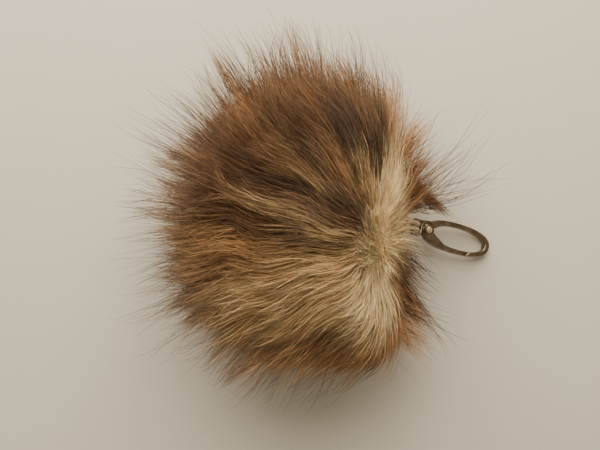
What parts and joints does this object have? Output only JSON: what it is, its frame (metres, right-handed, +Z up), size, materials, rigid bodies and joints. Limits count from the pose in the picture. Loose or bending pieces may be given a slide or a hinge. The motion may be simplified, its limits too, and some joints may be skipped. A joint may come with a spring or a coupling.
{
  "type": "pom pom",
  "caption": "Round fur pom pom charm lying on a surface, its long locks combed away from a whorl, tied by a cord to an oval spring-gate clasp.",
  "frame": {"origin": "on the surface that the pom pom rests on, straight below the middle of its core, at the flat end of its middle lock", "axes": "+Z up; +X the way that the clasp points, seen from above; +Y to its left"},
  "size_m": [0.1666, 0.168, 0.0994],
  "materials": {
    "fur": "long brown, cream and rust guard hair over a dense underfur",
    "cord": "twisted cream cotton",
    "antique_brass": "dark antique brass, brighter where it rubs",
    "rivet_brass": "polished antique brass"
  },
  "bodies": {
    "pom_pom": {"fur_ball": "fur", "tie": "cord", "clasp_frame": "antique_brass", "clasp_rivet": "rivet_brass"},
    "gate": {"clasp_gate": "antique_brass"}
  },
  "joints": [
    {"name": "gate_hinge", "type": "hinge", "parent": "pom_pom", "child": "gate", "pos_m": [0.055, 0.0146, 0.01022], "axis": [0.2563, 0.1392, 0.9565], "range_deg": [0, 20], "stiffness_Nm_per_rad": 0.01, "springref_deg": -57.3}
  ]
}
